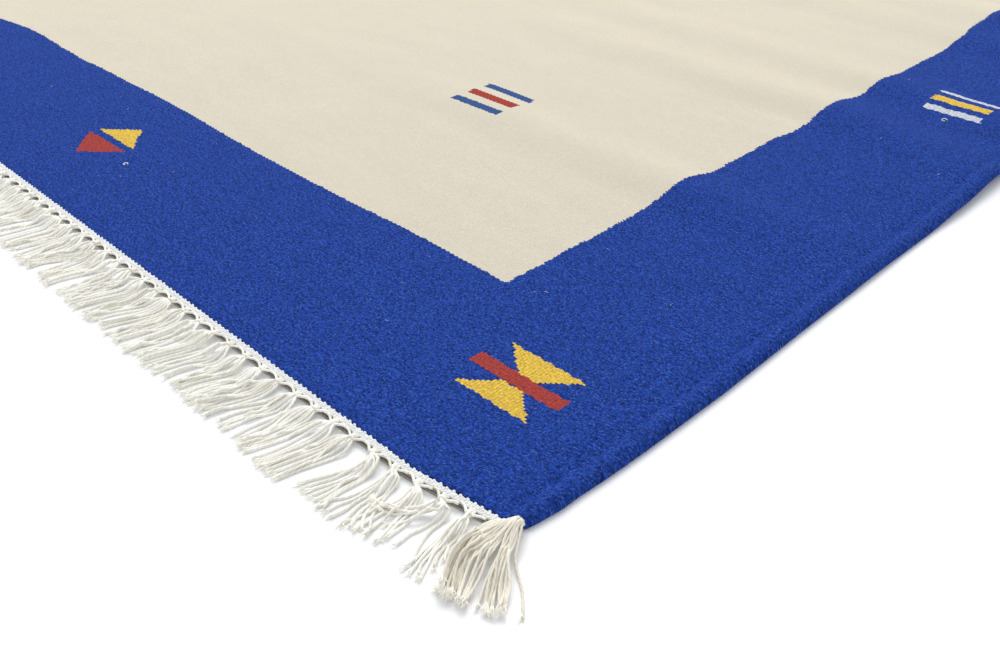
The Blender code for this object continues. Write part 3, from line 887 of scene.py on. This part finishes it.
def fringe_keys(settings, chance):
    """Key points of every yarn of the front fringe, by knot and yarn."""
    knots = knot_places()
    share = np.linspace(-1.0, 1.0, settings.yarns)
    shape = (KNOTS, settings.yarns)
    base = knots[:, None] + np.zeros(shape)
    line = end_line(base) - BAND_DEPTH
    wide = read_table(WIDTH / 2 - base, FRINGE_LEAN, "inset", "wide")
    spread = share * settings.spread / 2 * chance.uniform(0.88, 1.12, (KNOTS, 1)) * wide
    fan = share * settings.spread / 2 * chance.uniform(-0.6, 0.9, (KNOTS, 1)) / wide ** 3
    stray = chance.normal(0.0, 0.0010, shape)
    lean = read_table(WIDTH / 2 - base, FRINGE_LEAN, "inset", "lean")
    lean = lean + chance.normal(0.0, 0.0066, (KNOTS, 1)) / wide ** 2 + chance.normal(0.0, 0.0026, shape)
    sway = chance.normal(0.0, 0.0011, (KNOTS, 1)) + chance.normal(0.0, 0.0010, shape)
    full = FRINGE_STAGES[-1]["out"]
    reach = settings.reach - BAND_DEPTH + chance.normal(0.0, 0.0020, (KNOTS, 1)) + chance.normal(0.0, 0.0016, shape)
    lift = 1.0 + chance.uniform(-0.12, 0.16, shape) - 0.24 * np.abs(share)
    keys = np.empty(shape + (len(FRINGE_STAGES), 3))
    for k, stage in enumerate(FRINGE_STAGES):
        aside = spread * stage["spread"] + fan * stage["fan"] + lean * stage["lean"] + sway * stage["sway"]
        keys[..., k, 0] = base + aside + stray * (1.0 if k > 3 else 0.3)
        keys[..., k, 1] = line - stage["out"] * np.where(stage["out"] > 0.02, reach / full, 1.0)
        keys[..., k, 2] = stage["height"] * (lift if 2 <= k <= 4 else 1.0)
    arch = np.sign(share) * share ** 4
    keys[..., 0, 0] = base + arch * 0.0109
    keys[..., 1, 0] = base + arch * 0.0058 + share * 0.0010
    for order, guides in enumerate(TANGLES):
        bundle = keys[KNOTS - 1 - order]
        knot = (WIDTH / 2 - bundle[3, 2, 0], -LENGTH / 2 - bundle[3, 2, 1])
        guides = np.array([(knot, *guide) for guide in np.array(guides) / 1000.0])
        guides = smooth_path(guides, 7)[::-1, 1:]
        for k, part in enumerate(share):
            place, left = (part + 1.0) % 1.0 if part < 1.0 else 1.0, 0 if part < 0.0 else 1
            path = guides[left] * (1.0 - place) + guides[left + 1] * place + chance.normal(0.0, 0.0007, (6, 2))
            bundle[k, 3:, 0] = WIDTH / 2 - path[:, 0]
            bundle[k, 3:, 1] = -path[:, 1] - LENGTH / 2
    return keys


def tie_fringe(name, back, settings, materials, seed):
    """Seven yarns from every knot, laid over one another on the floor, with frayed ends."""
    chance = np.random.default_rng(seed)
    skein = Skein(name, *materials)
    keys = fringe_keys(settings, chance)
    samples = 22
    paths = smooth_path(keys.reshape(-1, keys.shape[2], 3), samples)
    radius = settings.yarn / 2
    loose = round(samples * 0.42)
    pile = Pile((-0.76, -1.10), (0.76, -0.98))
    for k in chance.permutation(len(paths)):
        pile.lay(paths[k, loose:], radius)
    thickness = np.concatenate([np.full(samples - 3, 1.0), (1.12, 1.2, 0.9)])
    radii = radius * thickness * chance.uniform(0.88, 1.08, (len(paths), 1))
    paths = turn_half(paths) if back else paths
    skein.add(paths, radii, 7, chance.uniform(0.0, 1.0, len(paths)))
    fray(skein, paths[:, -2], paths[:, -1] - paths[:, -4], radius, chance, 8, 0.0076)
    tie_knots(skein, back, chance)
    return skein.build()


def tie_knots(skein, back, chance):
    """A turn of yarn over the yarns of every knot, where they are gathered."""
    knots = knot_places()
    angles = np.linspace(0.0, math.pi, 9)
    line = end_line(knots) - BAND_DEPTH - FRINGE_STAGES[2]["out"]
    paths = np.empty((KNOTS, angles.size, 3))
    paths[..., 0] = knots[:, None] - np.cos(angles) * 0.0023
    paths[..., 1] = line[:, None] + chance.uniform(-0.0010, 0.0010, (KNOTS, 1)) * np.cos(angles)
    paths[..., 2] = 0.0040 + np.sin(angles) * 0.0022
    skein.add(turn_half(paths) if back else paths, 0.0008, 7, chance.uniform(0.0, 1.0, KNOTS))


# Corner tassels

def tassel_keys(settings, chance):
    """Key points of the yarns of the tassel at the front right corner."""
    count = settings.tassel_yarns
    order = np.clip(np.linspace(0.0, 0.94, count) + chance.normal(0.0, 0.012, count), 0.0, 0.94)
    order[-1] = 1.0
    orders = [row[0] for row in TASSEL_GUIDES]
    guides = np.array([row[1] for row in TASSEL_GUIDES]) / 1000.0
    keys = np.empty((count,) + guides.shape[1:])
    for stage in range(guides.shape[1]):
        for axis in range(3):
            keys[:, stage, axis] = np.interp(order, orders, guides[:, stage, axis])
    layer = (np.arange(count) % 3)[:, None]
    keys[:, :4, 2] -= layer * 0.0014
    keys[:, 1:4, :2] += chance.normal(0.0, 0.0004, (count, 3, 2))
    keys[:, 4:, :2] += chance.normal(0.0, 0.0013, (count, guides.shape[1] - 4, 2))
    return keys * (-1.0, 1.0, 1.0) + (WIDTH / 2, -LENGTH / 2, 0.0)


def tie_tassel(name, side, back, settings, materials, seed):
    """Yarns that go over a rounded head and fan out on the floor, at the front corner on one side."""
    chance = np.random.default_rng(seed)
    skein = Skein(name, *materials)
    samples = 28
    paths = smooth_path(tassel_keys(settings, chance), samples)
    count = len(paths)
    radius = settings.tassel_yarn / 2
    loose = round(samples * 0.60)
    pile = Pile((0.66, -1.08), (0.78, -0.97))
    for k in chance.permutation(count):
        pile.lay(paths[k, loose:], radius, 0.30, 0.55)
    mirror = np.array((side, 1.0, 1.0))
    paths = turn_half(paths * mirror) if back else paths * mirror
    thickness = np.concatenate([(0.6, 0.85), np.full(samples - 5, 1.0), (1.12, 1.2, 0.9)])
    skein.add(paths, radius * thickness, 7, chance.uniform(0.0, 1.0, count))
    fray(skein, paths[:, -2], paths[:, -1] - paths[:, -4], radius, chance, 10, 0.0074)
    return skein.build()


# Operators

class KILIM_OT_cloth(bpy.types.Operator):
    """Weave the wool cloth with its rolled selvedges and lay it over the ripples"""

    bl_idname = "kilim.cloth"
    bl_label = "Wool Cloth"

    def execute(self, context):
        settings = context.scene.kilim_cloth
        cloth = build_cloth(settings, wool_finish(settings))
        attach(cloth, BODY)
        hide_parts("kilim_cloth")
        return {"FINISHED"}


class KILIM_OT_bands(bpy.types.Operator):
    """Stitch the cotton band across both ends"""

    bl_idname = "kilim.bands"
    bl_label = "Cotton Bands"

    def execute(self, context):
        settings = context.scene.kilim_cotton
        # The band cotton, also used for the lint, has a painted glow that lifts the band's shaded front.
        materials = (plain_cotton_finish("band_cotton", settings.band, settings.band_shade, 0.08),
                     # The dark cords under the band are painted shade.
                     plain_cotton_finish("painted_shade_cord_cotton", settings.painted_shade_cord, settings.painted_shade_cord_dark))
        for name, back, seed in (("cotton_band_front", False, 21), ("cotton_band_back", True, 22)):
            band = braid_band(name, back, settings, materials, seed)
            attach(band, BODY)
        lint = scatter_lint(settings, materials[0])
        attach(lint, BODY)
        return {"FINISHED"}


class KILIM_OT_fringe(bpy.types.Operator):
    """Tie the knots and yarns of the fringe at both ends"""

    bl_idname = "kilim.fringe"
    bl_label = "Fringe"

    def execute(self, context):
        settings = context.scene.kilim_cotton
        # The frayed fibres have a stronger painted glow that keeps them bright.
        materials = (cotton_finish("fringe_cotton", settings.cotton, settings.shade),
                     plain_cotton_finish("frayed_cotton", settings.cotton, settings.tassel, 0.25))
        for name, node, back, seed in (("fringe_yarns_front", "fringe_front", False, 31),
                                       ("fringe_yarns_back", "fringe_back", True, 32)):
            yarns = tie_fringe(name, back, settings, materials, seed)
            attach(yarns, BODY)
            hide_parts(node)
        return {"FINISHED"}


class KILIM_OT_tassels(bpy.types.Operator):
    """Tie a tassel at each corner"""

    bl_idname = "kilim.tassels"
    bl_label = "Corner Tassels"

    def execute(self, context):
        settings = context.scene.kilim_cotton
        # The frayed fibres have a stronger painted glow that keeps them bright.
        materials = (cotton_finish("tassel_cotton", settings.tassel, settings.tassel_shade),
                     plain_cotton_finish("frayed_tassel_cotton", settings.cotton, settings.tassel, 0.25))
        for name, node, side, back, seed in (
            ("corner_tassel_1", "tassel_front_right", 1.0, False, 41),
            ("corner_tassel_2", "tassel_front_left", -1.0, False, 42),
            ("corner_tassel_3", "tassel_back_left", 1.0, True, 43),
            ("corner_tassel_4", "tassel_back_right", -1.0, True, 44),
        ):
            tassel = tie_tassel(name, side, back, settings, materials, seed)
            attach(tassel, BODY)
            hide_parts(node)
        return {"FINISHED"}


class KILIM_OT_stage(bpy.types.Operator):
    """Set the pale floor, the soft light and the camera"""

    bl_idname = "kilim.stage"
    bl_label = "Floor, Light and Camera"

    def execute(self, context):
        scene = context.scene
        settings = scene.kilim_stage
        half = settings.floor_size / 2
        corners = np.array([(x, y, 0.0) for x, y in ((-half, -half), (half, -half), (half, half), (-half, half))])
        floor = make_piece("pale_floor", corners, [[0, 1, 2, 3]], floor_finish(settings))
        world = bpy.data.worlds.new("soft_sky")
        world.use_nodes = True
        world.node_tree.nodes["Background"].inputs["Strength"].default_value = settings.sky
        world.node_tree.nodes["Background"].inputs["Color"].default_value = (0.97, 0.985, 1.0, 1.0)
        scene.world = world
        lamp = bpy.data.lights.new("large_lamp", "AREA")
        lamp.shape = "RECTANGLE"
        lamp.size = 6.0
        lamp.size_y = 5.0
        lamp.energy = settings.lamp
        aim_from(lamp, (-3.4, 2.9, 5.2), (0.1, -0.2, 0.0))
        camera = bpy.data.cameras.new("view")
        camera.lens = CAMERA_LENS
        camera.sensor_width = SENSOR_WIDTH
        holder = bpy.data.objects.new("view", camera)
        holder.location = CAMERA_PLACE
        holder.rotation_euler = Vector(CAMERA_AIM).to_track_quat("-Z", "Y").to_euler()
        scene.collection.objects.link(holder)
        scene.camera = holder
        scene.view_settings.view_transform = "Standard"
        return {"FINISHED"}


def aim_from(light, place, target):
    holder = bpy.data.objects.new(light.name, light)
    holder.location = place
    holder.rotation_euler = (Vector(target) - Vector(place)).to_track_quat("-Z", "Y").to_euler()
    bpy.context.scene.collection.objects.link(holder)


class KILIM_PT_panel(bpy.types.Panel):
    """Panel in the sidebar that lists the steps and settings"""

    bl_idname = "KILIM_PT_panel"
    bl_label = "Kilim Rug"
    bl_space_type = "VIEW_3D"
    bl_region_type = "UI"
    bl_category = "Kilim"

    def draw(self, context):
        scene = context.scene
        for operator in OPERATORS:
            self.layout.operator(operator.bl_idname)
        for settings in (scene.kilim_cloth, scene.kilim_cotton, scene.kilim_stage):
            box = self.layout.box()
            for name in settings.__annotations__:
                box.prop(settings, name)


OPERATORS = (KILIM_OT_cloth, KILIM_OT_bands, KILIM_OT_fringe, KILIM_OT_tassels, KILIM_OT_stage)
SETTINGS = {"kilim_cloth": ClothSettings, "kilim_cotton": CottonSettings, "kilim_stage": StageSettings}


def register():
    for item in (*SETTINGS.values(), *OPERATORS, KILIM_PT_panel):
        bpy.utils.register_class(item)
    for name, group in SETTINGS.items():
        setattr(bpy.types.Scene, name, PointerProperty(type=group))


def unregister():
    for name in SETTINGS:
        delattr(bpy.types.Scene, name)
    for item in (KILIM_PT_panel, *reversed(OPERATORS), *reversed(SETTINGS.values())):
        bpy.utils.unregister_class(item)


def main():
    register()
    bpy.ops.kilim.cloth()
    bpy.ops.kilim.bands()
    bpy.ops.kilim.fringe()
    bpy.ops.kilim.tassels()
    bpy.ops.kilim.stage()


if __name__ == "__main__":
    main()
